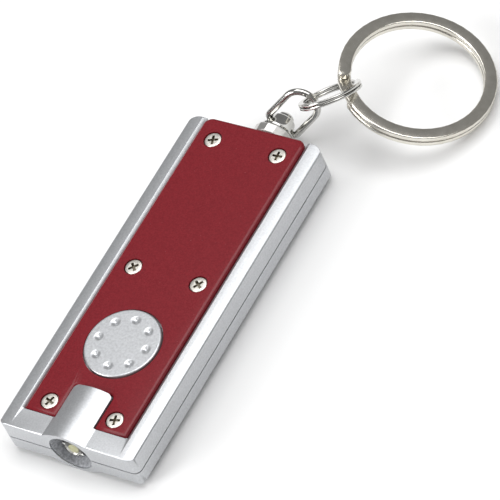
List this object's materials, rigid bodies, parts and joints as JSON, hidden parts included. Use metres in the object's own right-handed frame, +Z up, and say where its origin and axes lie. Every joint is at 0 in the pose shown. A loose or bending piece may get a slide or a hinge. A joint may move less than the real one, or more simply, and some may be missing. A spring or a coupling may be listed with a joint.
{
  "type": "keychain flashlight",
  "caption": "Flat rectangular keychain flashlight with a silver case, translucent red panel, round dimpled button, front LED, and a swivel with a wire loop and split rings",
  "frame": {"origin": "The centre of the case's flat underside: midway between its sides and midway between its lamp end and its swivel end.", "axes": "+X to the case's right seen from above with the lamp end nearest, +Y from the lamp end to the swivel end, +Z up out of the panel."},
  "size_m": [0.043, 0.0888, 0.013],
  "materials": {
    "shell_silver": "satin metallic silver paint",
    "panel_red": "translucent red, polished",
    "screw_nickel": "bright nickel plate",
    "switch_metal": "plain",
    "board_green": "solder-masked fibreglass",
    "cup_dark": "fine grain",
    "led_clear": "clear epoxy",
    "cell_steel": "plain",
    "swivel_chrome": "polished",
    "base_steel": "satin",
    "ring_nickel": "nickel plate"
  },
  "bodies": {
    "case": {"lower_shell": "shell_silver", "upper_shell": "shell_silver", "panel_cover": "panel_red", "screw_rear_left": "screw_nickel", "screw_rear_right": "screw_nickel", "screw_mid_left": "screw_nickel", "screw_mid_right": "screw_nickel", "screw_front_left": "screw_nickel", "screw_front_right": "screw_nickel", "switch_dome": "switch_metal", "switch_board": "board_green", "reflector_cup": "cup_dark", "led": "led_clear", "led_anode_lead": "switch_metal", "led_cathode_lead": "switch_metal", "coin_cell_lower": "cell_steel", "coin_cell_upper": "cell_steel", "negative_strip": "switch_metal", "positive_strip": "switch_metal", "swivel_base": "base_steel", "swivel_stud": "swivel_chrome"},
    "button": {"button_cap": "shell_silver"},
    "swivel": {"swivel_collar": "swivel_chrome"},
    "loop": {"wire_loop": "swivel_chrome"},
    "link": {"link_ring": "swivel_chrome"},
    "ring": {"key_ring": "ring_nickel"}
  },
  "joints": [
    {"name": "button_press", "type": "slide", "parent": "case", "child": "button", "axis": [0, 0, -1], "range_m": [0, 0.0006], "stiffness_N_per_m": 2500, "deforming": ["switch_dome"]},
    {"name": "swivel_spin", "type": "hinge", "parent": "case", "child": "swivel", "pos_m": [0.001, 0.03, 0.0028], "axis": [0, 1, 0], "continuous": true},
    {"name": "loop_pivot", "type": "hinge", "parent": "swivel", "child": "loop", "pos_m": [0.001, 0.0338, 0.0028], "axis": [0.6947, 0, -0.7193], "range_deg": [-90, 12]},
    {"name": "link_swing", "type": "hinge", "parent": "loop", "child": "link", "pos_m": [0.00698, 0.03693, 0.00713], "axis": [0.3826, -0.1533, -0.9111], "range_deg": [-35, 20]},
    {"name": "ring_swing", "type": "hinge", "parent": "link", "child": "ring", "pos_m": [0.01192, 0.03937, 0.00882], "axis": [0.6548, -0.7419, -0.1446], "range_deg": [-40, 120]}
  ]
}
